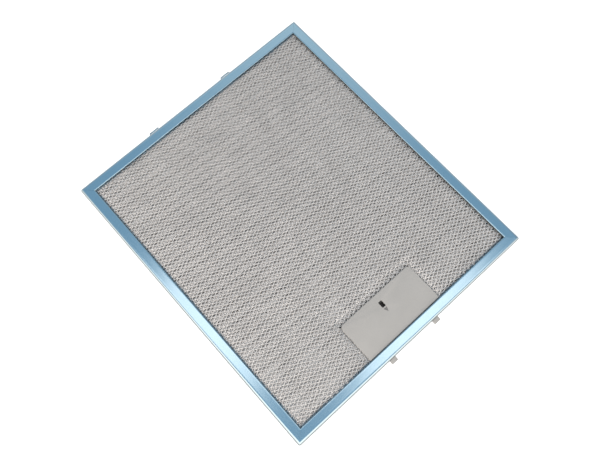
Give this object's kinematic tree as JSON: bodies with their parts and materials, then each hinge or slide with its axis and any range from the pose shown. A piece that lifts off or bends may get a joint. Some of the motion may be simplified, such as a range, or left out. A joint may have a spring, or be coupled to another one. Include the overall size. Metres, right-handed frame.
{
  "type": "cooker hood grease filter",
  "caption": "Flat rectangular grease filter: folded aluminium frame around layered expanded mesh, with a sprung latch plate on one short side and fixed tongues on the other.",
  "frame": {"origin": "middle of the part at the level of the back flange, on which it lies", "axes": "+Z out of the front face, +Y from the latch side to the tongue side, +X along the short side"},
  "size_m": [0.267, 0.3126, 0.009],
  "materials": {
    "frame_aluminium": "blue-tinted satin",
    "mesh_aluminium": "bare mill",
    "latch_plastic": "light grey moulded",
    "base_plastic": "black moulded",
    "spring_steel": "bright"
  },
  "bodies": {
    "filter": {"frame": "frame_aluminium", "front_mesh": "mesh_aluminium", "second_mesh": "mesh_aluminium", "middle_mesh": "mesh_aluminium", "fourth_mesh": "mesh_aluminium", "back_mesh": "mesh_aluminium", "latch_base": "base_plastic", "latch_spring": "spring_steel"},
    "latch": {"latch_plate": "latch_plastic"}
  },
  "joints": [
    {"name": "latch_slide", "type": "slide", "parent": "filter", "child": "latch", "axis": [0, 1, 0], "range_m": [0, 0.0042], "stiffness_N_per_m": 800, "springref_m": -0.004, "deforming": ["latch_spring"]}
  ]
}
